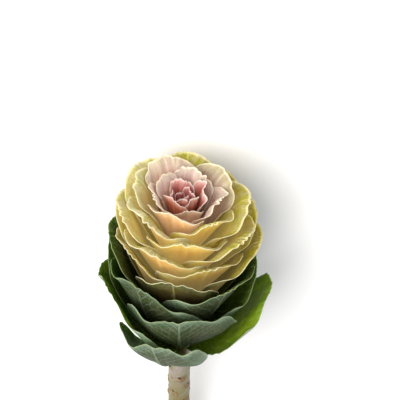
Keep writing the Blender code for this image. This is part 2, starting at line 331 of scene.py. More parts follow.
def outline(number, across, along):
    """Half angle and share of the way to the rim for a leaf with a round top."""
    t = np.clip((along - WAIST) / (1 - WAIST), 0, 1)
    drop = 1 - ROUNDING * np.abs(across) ** ROUND_POWER
    share = np.where(along < WAIST, along, WAIST + (1 - WAIST) * t * drop)
    share = share * (1 - SHORTENING * (0.5 + 0.5 * math.sin(LENGTH_BEAT * number)))
    share = share * (1 - SHORTENED.get(number, 0.0))
    widest = np.radians(through(HALF_WIDTH, number * ORDER_STEP))
    half = FOOT_HALF_WIDTH + (widest - FOOT_HALF_WIDTH) * smooth(along / SHOULDER)
    half = half * NARROWED.get(number, 1.0)
    cut = teeth(number, across, along)
    return half * (1 - ROUNDING * t**ROUND_POWER) * cut, share * cut


def around(radius, azimuth, height):
    """Points at a distance from the stem's axis."""
    return np.stack([radius * np.cos(azimuth), radius * np.sin(azimuth), height], axis=-1)


def leaf_middle(number):
    """Azimuth of a leaf's middle: a golden angle from the next leaf's."""
    regular = LOWEST_LEAF_AZIMUTH - (LEAVES - 1 - number) * GOLDEN_ANGLE
    return regular + math.radians(TURNED.get(number, 0.0))


def leaf_surface(number, across, along, sunk=0.0):
    """Points of a leaf's inner face, in the plant's frame: the shell of the leaf's order, moved
    towards its neighbours' shells by the swell, the ruffle and the frill."""
    order = number * ORDER_STEP
    half, share = outline(number, across, along)
    azimuth = leaf_middle(number) + across * half
    opening = LOWEST_OPENING if number == LEAVES - 1 else EDGE_OPENING
    waves = through(RUFFLE, order) * toward_margin(across, along, RUFFLE_START)
    waves = waves * ruffle(number, across, along)
    steps = (waves + opening * across**2 + swell(order, azimuth)) * smooth(along / CALM_FOOT)
    flare = through(FLARE, order) * smooth((along - FLARE_START) / (1 - FLARE_START))
    steps = steps + flare + frill(number, across, along)
    radius, height = shell(order + steps * ORDER_STEP, share, azimuth, sunk)
    return around(radius, azimuth, height)


def press(height):
    """Height above the surface after the plant's weight has flattened what lies below it: a ramp
    whose corner a logarithm rounds, less a step that dies out upwards, and never under 0."""
    growth = np.exp(np.minimum(height, FREE_HEIGHT) / PRESS_SOFTNESS)
    pressed = PRESS_SOFTNESS * np.log1p(growth) - PRESS_DEPTH / (1 + growth)
    return np.where(height > FREE_HEIGHT, height, np.maximum(pressed, 0))


def turned(x, y, z):
    """From the plant's axes to the surface's, for a point or a direction: the head points to -y,
    lifted by the rest tilt, and the side that faced the viewer faces up."""
    c, s = math.cos(REST_TILT), math.sin(REST_TILT)
    return -x, -z * c - y * s, z * s - y * c


def lay_down(points, clearance=None):
    """From the plant's frame to the surface it lies on: bowed by the square of the distance under
    the head, turned, and moved. With a clearance, what comes lower than that above the surface is
    pressed flat."""
    x, y, z = points[..., 0], points[..., 1], points[..., 2]
    below = np.clip((HEAD_FOOT - z) / (STEM_LENGTH + HEAD_FOOT), 0, 1)
    x, y, z = turned(x + STEM_BOW * below**2, y, z)
    up = z + LIFT
    if clearance is not None:
        up = press(up - clearance) + clearance
    return np.stack([x + SIDEWAYS, y - FORWARD, up], axis=-1)


def surface_normals(points):
    """Unit normals of a grid of points, towards its outer face: the cross product of the steps
    across and along."""
    normal = np.cross(np.gradient(points, axis=1), np.gradient(points, axis=0))
    return normal / np.linalg.norm(normal, axis=-1, keepdims=True)


def walked(points, axis):
    """Distance walked over a grid of points from its first row or column."""
    steps = np.linalg.norm(np.diff(points, axis=axis), axis=-1)
    start = np.zeros_like(np.take(steps, [0], axis=axis))
    return np.concatenate([start, np.cumsum(steps, axis=axis)], axis=axis)


def leaf_thickness(number, across, along, rim_distance):
    """The midrib is thick at the foot and runs out near the rim, and the blade thins to its
    margin."""
    rib = INNER_RIB + (OUTER_RIB - INNER_RIB) * number * ORDER_STEP
    ridge = (1 - smooth(np.abs(across) / RIB_HALF_WIDTH)) * (1 - along) ** RIB_THINNING
    blade = MARGIN + (BLADE - MARGIN) * smooth(rim_distance / THIN_EDGE)
    return blade + (rib - BLADE) * ridge


# Meshes

def grid_faces(grid):
    """Quads of a grid of vertex numbers, facing along the cross product of its columns' and rows'
    directions."""
    corners = (grid[:-1, :-1], grid[:-1, 1:], grid[1:, 1:], grid[1:, :-1])
    return np.stack(corners, axis=-1).reshape(-1, 4)


def blade_faces(rows, columns, first):
    """Quads of a closed blade: an inner grid, an outer grid and a strip round their border."""
    inner = np.arange((rows + 1) * (columns + 1)).reshape(rows + 1, columns + 1) + first
    outer = inner + inner.size
    ring = np.concatenate([inner[0, :-1], inner[:-1, -1], inner[-1, :0:-1], inner[:0:-1, 0]])
    following = np.roll(ring, -1)
    strip = np.stack([ring, following, following + inner.size, ring + inner.size], axis=-1)
    return np.concatenate([grid_faces(inner)[:, ::-1], grid_faces(outer), strip])


def tube_grid(heights, sides):
    """Height and azimuth of every point of a tube, ring by ring."""
    azimuths = np.arange(sides) * 2 * math.pi / sides
    return np.meshgrid(heights, azimuths, indexing="ij")


def tube_points(radius, azimuth, height):
    """The laid-down points of a tube, and the middle points of its first and its last ring."""
    ends = np.array([[0, 0, height[0, 0]], [0, 0, height[-1, 0]]])
    return lay_down(np.concatenate([around(radius, azimuth, height).reshape(-1, 3), ends]))


def tube_faces(rings, sides, first):
    """Quads round a tube of closed rings, and a fan of triangles on a middle point at each end."""
    grid = np.arange(rings * sides).reshape(rings, sides) + first
    wrapped = np.concatenate([grid, grid[:, :1]], axis=1)
    low = np.full(sides, first + rings * sides)
    low_cap = np.stack([low, wrapped[0, 1:], wrapped[0, :-1]], axis=-1)
    high_cap = np.stack([low + 1, wrapped[-1, :-1], wrapped[-1, 1:]], axis=-1)
    return grid_faces(wrapped), np.concatenate([low_cap, high_cap])


def leaf_parts(number, fineness, group_share, sunk=0.0):
    """Points of one leaf, their UV in decimetres from the midrib and the foot, and their measures,
    which become attributes. The outer face is the inner one moved out by the thickness."""
    columns, rows = fineness
    side = np.linspace(-1, 1, columns + 1)
    side = side * (1 + SIDE_CROWDING * (1 - side**2))
    up = 1 - (1 - np.linspace(0, 1, rows + 1)) ** RIM_CROWDING
    across, along = np.meshgrid(side, up)
    flat = leaf_surface(number, across, along, sunk)
    from_foot = walked(flat, 0)
    from_side = walked(flat, 1)
    side_distance = np.minimum(from_side, from_side[:, -1:] - from_side)
    rim_distance = np.minimum(from_foot[-1:] - from_foot, side_distance)
    from_midrib = from_side - from_side[:, columns // 2, None]
    thickness = leaf_thickness(number, across, along, rim_distance)
    inner = lay_down(flat, thickness)
    outer = inner + surface_normals(inner) * thickness[..., None]
    outer[..., 2] = np.maximum(outer[..., 2], 0)
    uv = np.stack([from_midrib, from_foot], axis=-1).reshape(-1, 2) / DECIMETRE
    measures = {
        "outer_face": np.repeat([0.0, 1.0], across.size),
        "rim_distance": np.tile(rim_distance.ravel() / MM, 2),
        "group_share": np.full(across.size * 2, group_share),
        "tone": np.full(across.size * 2, leaf_tone_and_painted_light(number)),
    }
    points = np.concatenate([inner.reshape(-1, 3), outer.reshape(-1, 3)])
    return points, np.tile(uv, (2, 1)), measures


def leaf_tone_and_painted_light(number):
    """How pale a leaf is among its neighbours: its own tone together with painted light and shade. The
    leaves of the rosette are painted palest on the viewer's left, as lit from there, and darker on the
    right and at the back, as in shade."""
    wave = math.sin(TONE_BEAT * number)
    if is_green(number):
        return BRIGHT.get(number, GREEN_SPREAD * wave)
    # Painted light from the viewer's left, painted shade at the right and the back
    right = math.cos(leaf_middle(number))
    behind = max(0.0, math.sin(leaf_middle(number)))
    return ROSETTE_SPREAD * wave - FRONT_DEPTH - RIGHT_PAINTED_SHADE * right - BACK_PAINTED_SHADE * behind


def build_mesh(name, points, faces, measures, uv=None):
    """A mesh from arrays of points and faces, with its attributes and its UV map in place."""
    mesh = bpy.data.meshes.new(name)
    mesh.from_pydata(points.tolist(), [], [face.tolist() for group in faces for face in group])
    for key, values in measures.items():
        attribute = mesh.attributes.new(key, "FLOAT", "POINT")
        attribute.data.foreach_set("value", np.asarray(values, np.float32))
    if uv is not None:
        corners = np.empty(len(mesh.loops), np.int32)
        mesh.loops.foreach_get("vertex_index", corners)
        mesh.uv_layers.new(name="blade").data.foreach_set("uv", uv[corners].astype(np.float32).ravel())
    mesh.shade_smooth()
    mesh.set_sharp_from_angle(angle=CREASE)
    return mesh


def put_in_scene(name, data):
    """A new object with that mesh, camera or lamp."""
    made = bpy.data.objects.new(name, data)
    bpy.context.scene.collection.objects.link(made)
    return made


def add_piece(name, mesh, material, nodes):
    """Puts a finished mesh in the scene in place of CAD nodes."""
    mesh.materials.append(material)
    piece = put_in_scene(name, mesh)
    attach(piece, "root")
    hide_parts(*nodes)


def leaf_piece(number, cad_node, fineness, group_share, material):
    """One dressed leaf in place of its CAD node."""
    columns, rows = fineness
    name = f"{cad_node}_dressed"
    points, uv, measures = leaf_parts(number, fineness, group_share)
    mesh = build_mesh(name, points, [blade_faces(rows, columns, 0)], measures, uv)
    add_piece(name, mesh, material, [cad_node])


# The core is coloured as an inner face this many millimetres from its rim
CORE_MEASURES = {"outer_face": 0.0, "rim_distance": 12.0, "group_share": 0.0, "tone": 0.0}


def core_points():
    """The heart's core: rings of the stem's radius, from just above the stem to among the heart's
    leaves, and the middle points of its ends."""
    heights = np.linspace(STEM_TOP + GAP, foot_height(0) + CORE_TIP, CORE_ROWS)
    height, azimuth = tube_grid(heights, CORE_SIDES)
    return tube_points(stem_radius(height), azimuth, height)


def heart_piece(material):
    """The crumpled pink heart: its little leaves and the core that carries them."""
    columns, rows = HEART_GRID
    core = core_points()
    first = len(core)
    core_measures = {key: np.full(first, value) for key, value in CORE_MEASURES.items()}
    parts = [(core, np.zeros((first, 2)), core_measures)]
    faces = list(tube_faces(CORE_ROWS, CORE_SIDES, 0))
    for number in range(HEART_LEAVES):
        share = number / (HEART_LEAVES - 1)
        parts.append(leaf_parts(number, HEART_GRID, share, HEART_SINK))
        faces.append(blade_faces(rows, columns, first))
        first += len(parts[-1][0])
    points, uvs, measures = zip(*parts)
    joined = {key: np.concatenate([part[key] for part in measures]) for key in CORE_MEASURES}
    mesh = build_mesh("heart_dressed", np.concatenate(points), faces, joined, np.concatenate(uvs))
    add_piece("heart_dressed", mesh, material, ["heart"])


# Stem, whose scars are only in this scene

SCAR_STEP = 4.5 * MM
SCAR_HALF_WIDTH = math.radians(70)
SCAR_BEAT = 1.7
SCAR_UNEVENNESS = 0.3
PLAIN_SCARS = 3  # this many under the head don't show
FULL_SCAR = 11  # from this one on, scars have their full depth
SCAR_RISE = 2.1 * MM
LEDGE_ABOVE = 0.7 * MM
LEDGE_BELOW = 2.6 * MM
SMILE = 3.2 * MM  # how far a scar's ends turn up
RAGGED = 0.35 * MM  # how far a scar's line wanders
RAGGED_WAVES = ((7, 2.1, 1.0), (17, 3.7, 0.6))  # waves round the stem, turn by scar, share
SCAR_FACE = 3.4 * MM
FACE_START = -0.3 * MM
FACE_SOFTNESS = (0.5 * MM, 0.8 * MM)  # at its lower and its upper side
DRY_LINE = (0.5 * MM, 0.6 * MM)  # under and over the face
UPPER_LINE_SHARE = 0.8
FACE_GROWTH, EDGE_GROWTH, NEAR_GROWTH = 3, 4, 2  # how much sooner than the ledge each is full
BUD_ABOVE = 4.4 * MM
BUD_RADIUS = 1.4 * MM
BUD_RISE = 2.3 * MM
NEAR_MIDDLE = 1.5 * MM
NEAR_REACH = 4.2 * MM
CALM_CUT = 2 * MM
CALM_NECK = 3 * MM
HIDDEN_FOOT = 9 * MM  # the stem's dark olive, partly painted shade inside the head, starts to pale this far above the lowest leaf's foot


def scar_fields(height, azimuth):
    """How far the stem's skin stands out, and the masks of its scars, their dry edges and buds, and
    of the skin near them.

    A scar is a crescent whose ends turn up: a ledge along a parabola with ragged waves, steep above
    and slanting below, a pale face over it, a dry line round the face, and a bud over its middle.
    Each fades towards the scar's two ends, and the first scars under the head are faint."""
    rise, face, dry_edge, bud, near = np.zeros((5, *height.shape))
    half_width = SCAR_HALF_WIDTH * STEM_RADIUS
    count = int((STEM_LENGTH + HEAD_FOOT) / SCAR_STEP) - 1
    for scar in range(1, count + 1):
        turned = azimuth - LOWEST_LEAF_AZIMUTH - scar * GOLDEN_ANGLE
        x = ((turned + math.pi) % (2 * math.pi) - math.pi) * STEM_RADIUS
        y = height - HEAD_FOOT + scar * SCAR_STEP - SMILE * (x / half_width) ** 2
        for waves, turn, share in RAGGED_WAVES:
            y = y + RAGGED * share * np.sin(waves * azimuth + turn * scar)
        shrink = 1 - SCAR_UNEVENNESS + SCAR_UNEVENNESS * math.sin(SCAR_BEAT * scar)
        grown = smooth((scar - PLAIN_SCARS) / (FULL_SCAR - PLAIN_SCARS))
        strength = grown * smooth(1 - np.abs(x) / (half_width * shrink))
        slant = np.where(y > 0, y / LEDGE_ABOVE, -y / LEDGE_BELOW)
        rise = np.maximum(rise, SCAR_RISE * shrink * strength * np.exp(-slant**2))
        top = SCAR_FACE * strength
        within = smooth((y - FACE_START) / FACE_SOFTNESS[0]) * smooth((top - y) / FACE_SOFTNESS[1])
        face = np.maximum(face, within * smooth(FACE_GROWTH * strength))
        lower = np.exp(-((y / DRY_LINE[0]) ** 2))
        upper = np.exp(-(((y - top) / DRY_LINE[1]) ** 2))
        lines = np.maximum(lower, UPPER_LINE_SHARE * upper)
        dry_edge = np.maximum(dry_edge, lines * smooth(EDGE_GROWTH * strength))
        off_bud = np.hypot(x, y - BUD_ABOVE) / BUD_RADIUS
        bud = np.maximum(bud, shrink * np.exp(-(off_bud**2)))
        beside = np.exp(-(((y - NEAR_MIDDLE) / NEAR_REACH) ** 2))
        near = np.maximum(near, beside * smooth(NEAR_GROWTH * strength))
    return rise + BUD_RISE * bud, face, dry_edge, bud, near


def stem_piece(material):
    """The stem: rings of points from the cut to the top, pushed out by the scars on its bare
    length, closed by a middle point at each end, first the cut's and then the top's."""
    bare = np.arange(-STEM_LENGTH, HEAD_FOOT, STEM_ROW)
    inside = np.linspace(HEAD_FOOT, STEM_TOP, ROWS_IN_HEAD)
    heights = np.concatenate([[-STEM_LENGTH], bare, inside])
    height, azimuth = tube_grid(heights, STEM_SIDES)
    rise, face, dry_edge, bud, near = scar_fields(height, azimuth)
    calm = smooth((height + STEM_LENGTH) / CALM_CUT) * smooth((HEAD_FOOT - height) / CALM_NECK)
    radius = stem_radius(height) + rise * calm
    points = tube_points(radius, azimuth, height)
    cut = np.zeros_like(height)
    cut[0] = 1
    measures = {
        "scar": face * calm,
        "dry_edge": dry_edge * calm,
        "bud": bud * calm,
        "near_scar": near * calm,
        "cut": cut,
        "from_head": np.clip((HEAD_FOOT + HIDDEN_FOOT - height) / (STEM_LENGTH + HEAD_FOOT), 0, 1),
        "core_distance": radius / STEM_RADIUS,
    }
    middles = {"cut": (1, 0), "from_head": (1, 0)}
    for key, values in measures.items():
        measures[key] = np.concatenate([values.ravel(), middles.get(key, (0, 0))])
    faces = tube_faces(len(heights), STEM_SIDES, 0)
    mesh = build_mesh("stem_dressed", points, faces, measures)
    add_piece("stem_dressed", mesh, material, ["stem"])


# Shader helpers

BLACK = (0.0, 0.0, 0.0, 1.0)
WHITE = (1.0, 1.0, 1.0, 1.0)


def srgb(*screen):
    """A colour given as red, green and blue on a screen, from 0 to 255, as linear light."""
    shares = [value / 255 for value in screen]
    return tuple(v / 12.92 if v <= 0.04045 else ((v + 0.055) / 1.055) ** 2.4 for v in shares) + (1.0,)


def feed(tree, made, inputs):
    """Sets a node's inputs to values, or links them to sockets."""
    for key, value in inputs.items():
        if isinstance(value, bpy.types.NodeSocket):
            tree.links.new(value, made.inputs[key])
        else:
            made.inputs[key].default_value = value


def node(tree, kind, inputs=None, **settings):
    """A shader node with its settings and inputs."""
    made = tree.nodes.new(kind)
    for name, value in settings.items():
        setattr(made, name, value)
    feed(tree, made, inputs or {})
    return made


def maths(tree, operation, *values):
    """The result of a Math node."""
    return node(tree, "ShaderNodeMath", dict(enumerate(values)), operation=operation).outputs[0]


def times(tree, first, second):
    """The product of two values."""
    return maths(tree, "MULTIPLY", first, second)


def scaled(tree, value, factor, shift):
    """A value times a factor, plus another value."""
    return maths(tree, "MULTIPLY_ADD", value, factor, shift)


def fade(tree, value, start, end, first=0.0, last=1.0):
    """Goes smoothly from first to last as value goes from start to end."""
    inputs = {"Value": value, "From Min": start, "From Max": end, "To Min": first, "To Max": last}
    return node(tree, "ShaderNodeMapRange", inputs, interpolation_type="SMOOTHSTEP").outputs[0]


def blend(tree, share, first, second, mode="MIX"):
    """A mix of two colours."""
    made = node(tree, "ShaderNodeMix", {0: share, 6: first, 7: second}, data_type="RGBA", blend_type=mode)
    return made.outputs[2]


def ramp(tree, value, stops):
    """A colour that follows value through stops of (place, colour as it looks on a screen)."""
    made = node(tree, "ShaderNodeValToRGB", {0: value})
    elements = made.color_ramp.elements
    while len(elements) < len(stops):
        elements.new(0.5)
    for element, (place, colour) in zip(elements, stops):
        element.position = place
        element.color = srgb(*colour)
    return made.outputs[0]


def noise(tree, vector, scale, detail=3.0, roughness=0.5, distortion=0.0):
    """Cloudy noise from 0 to 1."""
    values = {"Scale": scale, "Detail": detail, "Roughness": roughness, "Distortion": distortion}
    return node(tree, "ShaderNodeTexNoise", {"Vector": vector, **values}).outputs[0]


def measure(tree, name):
    """A piece's own attribute."""
    return node(tree, "ShaderNodeAttribute", attribute_name=name).outputs["Fac"]


def blade_place(tree):
    """The place on a leaf, from its UV map in decimetres."""
    return node(tree, "ShaderNodeUVMap", uv_map="blade").outputs[0]


def bumped(tree, height, strength, distance):
    """The normal of a surface with a relief of that height."""
    inputs = {"Height": height, "Strength": strength, "Distance": distance}
    return node(tree, "ShaderNodeBump", inputs).outputs[0]


def new_material(name):
    """A material, its node tree and its shader."""
    made = bpy.data.materials.new(name)
    made.use_nodes = True
    return made, made.node_tree, made.node_tree.nodes["Principled BSDF"]


def new_group(name, inputs, outputs):
    """A shader group with named sockets, each with its value, a number or a colour: its tree, what
    it is given and the node that takes its results."""
    tree = bpy.data.node_groups.new(name, "ShaderNodeTree")
    for way, sockets in (("INPUT", inputs), ("OUTPUT", outputs)):
        for key, value in sockets.items():
            kind = "NodeSocketColor" if isinstance(value, tuple) else "NodeSocketFloat"
            tree.interface.new_socket(name=key, in_out=way, socket_type=kind).default_value = value
    return tree, tree.nodes.new("NodeGroupInput").outputs, tree.nodes.new("NodeGroupOutput")


# Shared effects. Lengths are in the decimetres of the UV map

VEIN_WOBBLE = 0.16
VEIN_BOW = 0.85  # below 1, side veins climb less and less
VEIN_REACH = 0.55
VEIN_HALF_WIDTH = (0.17, 0.09)  # in spacings, at the midrib and from the reach on
VEIN_PALING = (0.05, 0.7, 1.0, 0.35)  # two distances from the midrib, and the strength there
VEIN_BREAKS = (0.3, 0.6, 0.4, 1.0)  # two values of the noise, and the strength there
MIDRIB_HALF_WIDTH = (0.2, 1.3, 0.03, 0.006)  # two distances from the foot, and the half width there
NET_BEND = (0.05, 0.05, 0.0)
NET_LINE = 0.16  # in cells
FINE_NET = 2.7  # so many times as fine as the wide one
FINE_NET_LINE = 0.22
FINE_NET_SHARE = 0.5
NET_RELIEF = 0.35
STREAK_SCALE = (26.0, 2.2, 1.0)
TONE_AND_PAINTED_LIGHT_GAIN = 0.12
RIM_SOFTNESS = (1.5, 0.4)  # in rim widths, where the rim line has gone and where it is full
RIM_RAGGED = 1.4  # millimetres


def veins_group():
    """Masks of a leaf's veins, from its UV map.

    Side veins are lines of equal v less Rise times a power of the distance from the midrib, one
    every Spacing, bent by slow noise, set off by half a spacing on the leaf's other half. They pale
    away from the midrib. The net is the borders of noisy cells of Net Size and of smaller ones."""
    inputs = {"Spacing": 0.12, "Rise": 0.8, "Net Size": 0.05}
    tree, given, result = new_group("leaf_veins", inputs, {"Veins": 0.0, "Net": 0.0, "Relief": 0.0})
    place = blade_place(tree)
    parts = node(tree, "ShaderNodeSeparateXYZ", {0: place}).outputs
    side = maths(tree, "ABSOLUTE", parts["X"])
    wobble = scaled(tree, noise(tree, place, scale=3.0, detail=1.0), VEIN_WOBBLE, -VEIN_WOBBLE / 2)
    climb = times(tree, given["Rise"], maths(tree, "POWER", side, VEIN_BOW))
    level = maths(tree, "ADD", maths(tree, "SUBTRACT", parts["Y"], climb), wobble)
    other_half = times(tree, maths(tree, "GREATER_THAN", parts["X"], 0.0), 0.5)
    phase = maths(tree, "ADD", maths(tree, "DIVIDE", level, given["Spacing"]), other_half)
    off_vein = maths(tree, "ABSOLUTE", maths(tree, "SUBTRACT", maths(tree, "FRACT", phase), 0.5))
    half_width = fade(tree, side, 0.0, VEIN_REACH, *VEIN_HALF_WIDTH)
    line = fade(tree, maths(tree, "DIVIDE", off_vein, half_width), 0.0, 1.0, 1.0, 0.0)
    line = times(tree, line, fade(tree, side, *VEIN_PALING))
    line = times(tree, line, fade(tree, noise(tree, place, scale=7.0, detail=2.0), *VEIN_BREAKS))
    rib_width = fade(tree, parts["Y"], *MIDRIB_HALF_WIDTH)
    rib = fade(tree, maths(tree, "DIVIDE", side, rib_width), 0.5, 1.0, 1.0, 0.0)
    veins = maths(tree, "MAXIMUM", rib, line)
    bend = node(tree, "ShaderNodeTexNoise", {"Vector": place, "Scale": 9.0, "Detail": 1.0}).outputs[1]
    moved = {0: bend, 1: NET_BEND, 2: place}
    bent = node(tree, "ShaderNodeVectorMath", moved, operation="MULTIPLY_ADD").outputs[0]
    scale = maths(tree, "DIVIDE", 1.0, given["Net Size"])
    wide = cell_borders(tree, bent, scale, NET_LINE)
    fine = cell_borders(tree, bent, times(tree, scale, FINE_NET), FINE_NET_LINE)
    net = maths(tree, "MAXIMUM", wide, times(tree, fine, FINE_NET_SHARE))
    relief = scaled(tree, net, NET_RELIEF, veins)
    feed(tree, result, {"Veins": veins, "Net": net, "Relief": relief})
    return tree


def cell_borders(tree, vector, scale, width):
    """1 on the borders between cells, 0 inside them."""
    inputs = {"Vector": vector, "Scale": scale}
    cells = node(tree, "ShaderNodeTexVoronoi", inputs, feature="DISTANCE_TO_EDGE", voronoi_dimensions="2D")
    return fade(tree, cells.outputs[0], 0.0, width, 1.0, 0.0)


def skin_tint_group():
    """A leaf's colour broken up: paler and darker clouds, patches that another colour deepens, fine
    streaks that run from foot to rim, and a thin ragged rim line of another colour. A leaf with a higher
    tone, which holds painted light and shade as well as the leaf's own tone, is paler, and less saturated
    by a share of Tone Saturation."""
    inputs = {
        "Color": WHITE, "Rim Color": WHITE, "Rim Width": 1.2, "Rim Strength": 0.7,
        "Streaks": 0.2, "Clouds": 0.2, "Patch Color": WHITE, "Patch Strength": 0.3,
        "Tone Saturation": 0.0,
    }
    tree, given, result = new_group("leaf_tint", inputs, {"Color": BLACK})
    place = blade_place(tree)
    stretched = node(tree, "ShaderNodeMapping", {"Vector": place, "Scale": STREAK_SCALE}).outputs[0]
    streak = noise(tree, stretched, scale=1.0, roughness=0.6)
    cloud = noise(tree, place, scale=5.0, detail=4.0, roughness=0.55)
    tone = measure(tree, "tone")
    value = scaled(tree, maths(tree, "SUBTRACT", streak, 0.5), given["Streaks"], 1.0)
    value = scaled(tree, maths(tree, "SUBTRACT", cloud, 0.5), given["Clouds"], value)
    # Painted light and shade by leaf, together with each leaf's own tone
    value = scaled(tree, tone, TONE_AND_PAINTED_LIGHT_GAIN, value)
    saturation = maths(tree, "SUBTRACT", 1.0, times(tree, tone, given["Tone Saturation"]))
    patch = noise(tree, place, scale=5.0, detail=4.0, roughness=0.7, distortion=0.8)
    patch = times(tree, fade(tree, patch, 0.42, 0.64), given["Patch Strength"])
    patched = blend(tree, patch, given["Color"], given["Patch Color"], "MULTIPLY")
    shift = {"Value": value, "Saturation": saturation, "Color": patched}
    broken = node(tree, "ShaderNodeHueSaturation", shift).outputs[0]
    ragged = noise(tree, place, scale=22.0, detail=2.0)
    ragged = scaled(tree, ragged, RIM_RAGGED, measure(tree, "rim_distance"))
    off_rim = maths(tree, "DIVIDE", maths(tree, "SUBTRACT", ragged, RIM_RAGGED / 2), given["Rim Width"])
    rim = times(tree, fade(tree, off_rim, *RIM_SOFTNESS), given["Rim Strength"])
    feed(tree, result, {"Color": blend(tree, rim, broken, given["Rim Color"])})
    return tree


# Skins

DEEP = 45.0  # millimetres from the rim where a leaf's colours have reached their deepest
VEIN_FADING = (0.1, 0.7, 1.0, 0.5)  # two depths, and the strength of the veins there
# Painted glow: a faint emission stands in for the light that shines through the thin leaves in their depth
PAINTED_GLOW_GROWTH = (0.05, 0.4)  # depths
INNER_PAINTED_GLOW = 0.6  # share of the outer face's
GLOSS_SPREAD = 0.16
LEAF_RELIEF = 0.4 * MM
LEAF_SCATTER = 2.5 * MM


def face_colours(tree, depth, palette, veins):
    """The colours of the inner and of the outer face. Each has two ramps by depth, for the first
    and for the last leaf of the group, the leaf's place in the group mixes them, and the veins and
    their net lie over them."""
    colours = []
    styles = zip(("inner", "outer"), palette["vein_colours"], palette["vein_strengths"])
    for face, vein_colour, (strong, fine) in styles:
        first = ramp(tree, depth, palette[face + "_first"])
        last = ramp(tree, depth, palette[face + "_last"])
        plain = blend(tree, measure(tree, "group_share"), first, last)
        line = times(tree, veins["Veins"], strong)
        net = times(tree, veins["Net"], fine)
        lines = maths(tree, "MAXIMUM", line, net)
        shown = times(tree, lines, fade(tree, depth, *VEIN_FADING))
        colours.append(blend(tree, shown, plain, vein_colour))
    return colours


def painted_glow(tree, depth, outer_face, palette):
    """The light that shines through a leaf, painted as a glow that the leaf emits: it grows from the rim
    inwards, is stronger on the outer face, and goes over to the share last_painted_glow towards the last
    leaves of the group."""
    share = measure(tree, "group_share")
    lit = scaled(tree, outer_face, 1 - INNER_PAINTED_GLOW, INNER_PAINTED_GLOW)
    lit = times(tree, lit, fade(tree, depth, *PAINTED_GLOW_GROWTH))
    lasting = scaled(tree, times(tree, share, share), palette["last_painted_glow"] - 1.0, 1.0)
    return blend(tree, times(tree, lit, lasting), BLACK, palette["painted_glow_colour"])


def leaf_skin(name, groups, palette):
    """A leaf's skin: colours by the distance from the rim, broken up and with a rim line, a painted glow
    for the light that shines through, and veins that sink into the inner face and stand out on the outer
    one."""
    veins_tree, tint_tree = groups
    made, tree, shader = new_material(name)
    place = blade_place(tree)
    depth = maths(tree, "DIVIDE", measure(tree, "rim_distance"), DEEP)
    outer_face = measure(tree, "outer_face")
    veins = node(tree, "ShaderNodeGroup", palette["veins"], node_tree=veins_tree).outputs
    both = blend(tree, outer_face, *face_colours(tree, depth, palette, veins))
    inner_rim, outer_rim = palette["rim_strengths"]
    rim_strength = scaled(tree, outer_face, outer_rim - inner_rim, inner_rim)
    tint = {"Color": both, "Rim Strength": rim_strength, **palette["tint"]}
    tinted = node(tree, "ShaderNodeGroup", tint, node_tree=tint_tree).outputs["Color"]
    duller = palette["roughness"] - GLOSS_SPREAD / 2
    gloss = scaled(tree, noise(tree, place, scale=14.0), GLOSS_SPREAD, duller)
    facing = scaled(tree, outer_face, 2.0, -1.0)
    relief = times(tree, veins["Relief"], facing)
    pucker = noise(tree, place, scale=12.0, detail=2.0)
    height = scaled(tree, pucker, palette["pucker"], relief)
    feed(tree, shader, {
        "Base Color": tinted,
        # Painted glow: emission for the light that shines through the leaf
        "Emission Color": painted_glow(tree, depth, outer_face, palette),
        "Emission Strength": palette["painted_glow_strength"],
        "Roughness": scaled(tree, outer_face, palette["outer_dulling"], gloss),
        "Specular IOR Level": 0.22,
        "Normal": bumped(tree, height, palette["relief"], LEAF_RELIEF),
        "Subsurface Weight": palette["translucency"],
        "Subsurface Radius": palette["glow"],
        "Subsurface Scale": LEAF_SCATTER,
    })
    return made


# Each leaf group's colours: ramps by the depth in from the rim, and what goes over them. Pairs are
# for the inner and the outer face, and a pair of vein strengths is for the veins and their net
# The heart's colours deepen to maroon and terracotta towards its base: partly the heart's own colour,
# partly painted shade between its leaves
HEART_COLOURS = {
    "inner_first": ((0.0, (222, 178, 180)), (0.07, (188, 108, 114)), (0.18, (154, 54, 66))),
    "inner_last": (
        (0.0, (220, 198, 188)), (0.1, (196, 144, 134)), (0.22, (166, 86, 72)), (0.4, (144, 62, 38)),
    ),
    "outer_first": (
        (0.0, (220, 186, 176)), (0.08, (204, 142, 130)), (0.2, (176, 94, 74)), (0.35, (156, 68, 34)),
    ),
    "outer_last": (
        (0.0, (222, 198, 182)), (0.1, (208, 162, 142)), (0.22, (184, 110, 74)), (0.38, (162, 76, 28)),
    ),
    "vein_colours": (srgb(226, 180, 172), srgb(228, 178, 160)),
    "vein_strengths": ((0.3, 0.12), (0.3, 0.12)), "rim_strengths": (0.6, 0.8),
    "veins": {"Spacing": 0.035, "Rise": 2.2, "Net Size": 0.022},
    "tint": {
        "Rim Color": srgb(240, 216, 206), "Rim Width": 1.4, "Streaks": 0.65, "Clouds": 0.4,
        "Patch Color": (0.9, 0.68, 0.62, 1.0), "Patch Strength": 0.6,
    },
    "roughness": 0.5, "outer_dulling": 0.04, "relief": 0.35, "pucker": 0.8, "translucency": 0.3,
    "painted_glow_colour": srgb(214, 96, 70), "last_painted_glow": 1.0, "painted_glow_strength": 0.02, "glow": (1.0, 0.6, 0.5),
}
